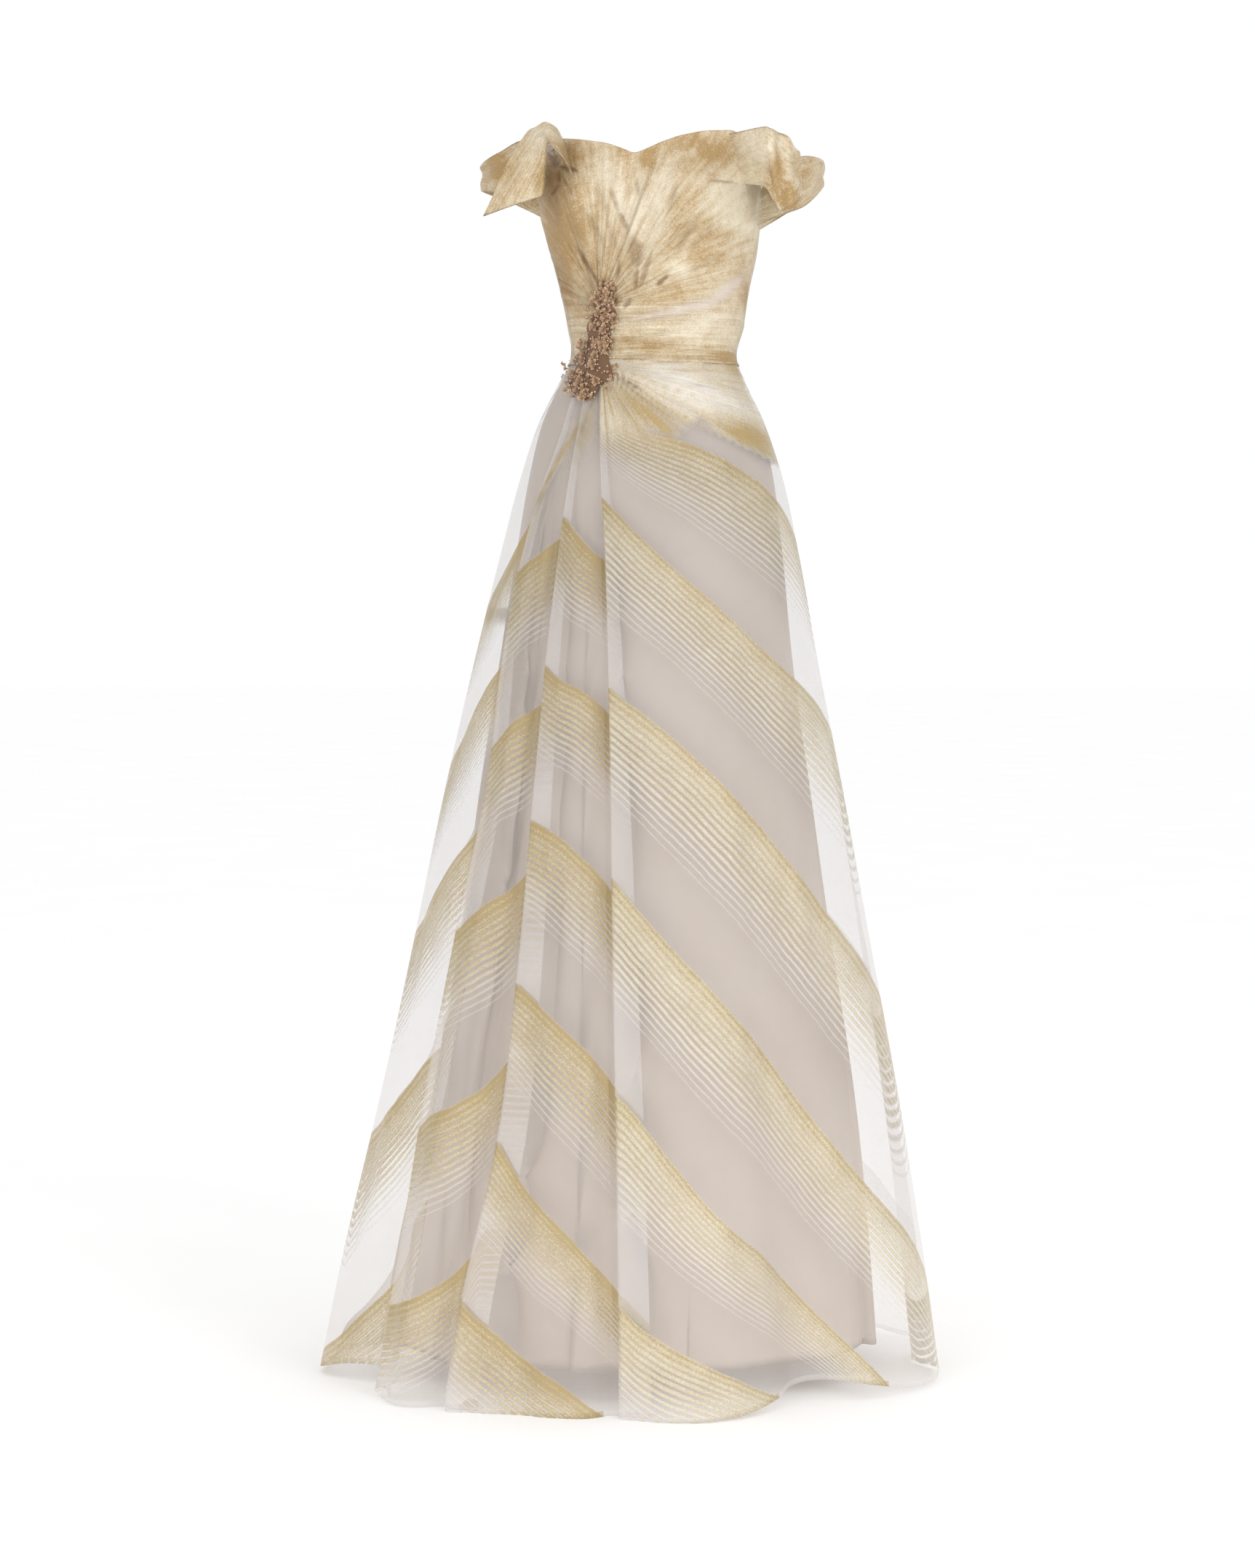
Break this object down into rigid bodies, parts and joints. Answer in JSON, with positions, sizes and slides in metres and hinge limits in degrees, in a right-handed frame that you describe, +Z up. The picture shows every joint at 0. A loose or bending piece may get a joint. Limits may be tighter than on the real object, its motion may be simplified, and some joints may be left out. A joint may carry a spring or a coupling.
{
  "type": "off-shoulder evening dress",
  "caption": "Off-shoulder evening dress, hollow as worn: gathered gold bodice with folded sleeves, flower spray at the waist, and a sheer A-line skirt in diagonal gold stripes over a slip.",
  "frame": {"origin": "on the body's axis at the bust line, where the wearer's ribs hold the bodice up; the hem's lowest point is 1.40 m below", "axes": "+Z up; the front faces -Y; +X is the viewer's right as seen from the front (the wearer's left)"},
  "size_m": [0.7503, 0.6867, 1.498],
  "materials": {
    "gold_lame": "metallic woven, softly shiny",
    "organza": "sheer with woven gold bands",
    "lining": "satin",
    "zip": "matt",
    "flowers": "satin petals with small beads"
  },
  "bodies": {
    "root": {"bodice_front": "gold_lame", "bodice_back_left": "gold_lame", "bodice_back_right": "gold_lame", "zip_back": "zip", "sleeve_left_band": "gold_lame", "sleeve_left_bow": "gold_lame", "sleeve_right_band": "gold_lame", "sleeve_right_puff": "gold_lame", "skirt_front_right": "organza", "skirt_front_centre": "organza", "skirt_front_left": "organza", "skirt_back_left": "organza", "skirt_back_right": "organza", "lining_front": "lining", "lining_back": "lining", "waist_spray": "flowers"}
  },
  "joints": []
}
